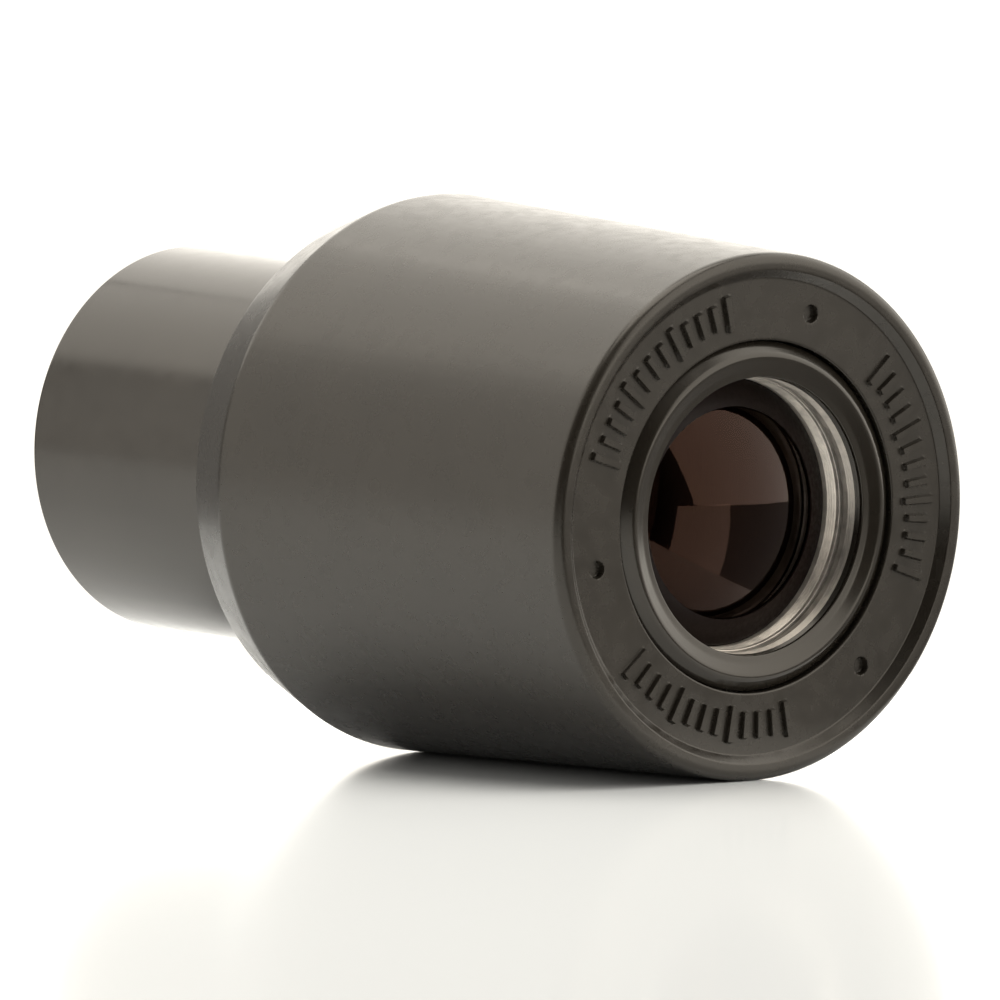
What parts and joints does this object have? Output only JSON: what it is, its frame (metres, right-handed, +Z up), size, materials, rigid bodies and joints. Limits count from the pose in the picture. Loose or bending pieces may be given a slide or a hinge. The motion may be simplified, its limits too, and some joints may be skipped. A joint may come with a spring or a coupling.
{
  "type": "microscope eyepiece",
  "caption": "Wide-field eyepiece: tapered black housing with a recessed lens in its end face and a plain cylindrical barrel that unscrews behind it.",
  "frame": {"origin": "on the optical axis, in the plane of the shoulder that seats on the viewing tube, where the barrel begins", "axes": "+X along the optical axis towards the eye, +Z up as the eyepiece lies on its side, +Y across"},
  "size_m": [0.0544, 0.0334, 0.0334],
  "materials": {
    "shell_plastic": "satin moulded, fine grain",
    "ring_plastic": "satin turned",
    "barrel_plastic": "smooth, semi-gloss",
    "cell_metal": "fine turned, anodised",
    "blackened_metal": "matt black anodised",
    "rubber": "matt",
    "eye_glass": "polished, coated",
    "flint_glass": "polished",
    "field_glass": "polished, coated"
  },
  "bodies": {
    "barrel": {"barrel_tube": "barrel_plastic", "field_stop": "blackened_metal", "field_stop_lock_ring": "blackened_metal"},
    "seal": {"barrel_seal_washer": "rubber"},
    "head": {"housing_shell": "shell_plastic", "shoulder_ring": "shell_plastic", "eye_lens_retaining_ring": "ring_plastic", "cell_cushion_ring": "rubber", "lens_cell": "cell_metal", "eye_lens_aperture_ring": "blackened_metal", "eye_lens_crown": "eye_glass", "eye_lens_flint": "flint_glass", "lens_spacer": "blackened_metal", "field_lens": "field_glass", "field_lens_lock_ring": "blackened_metal"}
  },
  "joints": [
    {"name": "thread_travel", "type": "slide", "parent": "barrel", "child": "seal", "axis": [1, 0, 0], "range_m": [0, 0.00375]},
    {"name": "head_unscrew", "type": "hinge", "parent": "seal", "child": "head", "pos_m": [0, 0, 0], "axis": [1, 0, 0], "range_deg": [0, 1800]}
  ],
  "couplings": [
    {"joint": "thread_travel", "follows": "head_unscrew", "m_per_rad": 0.00011937}
  ]
}
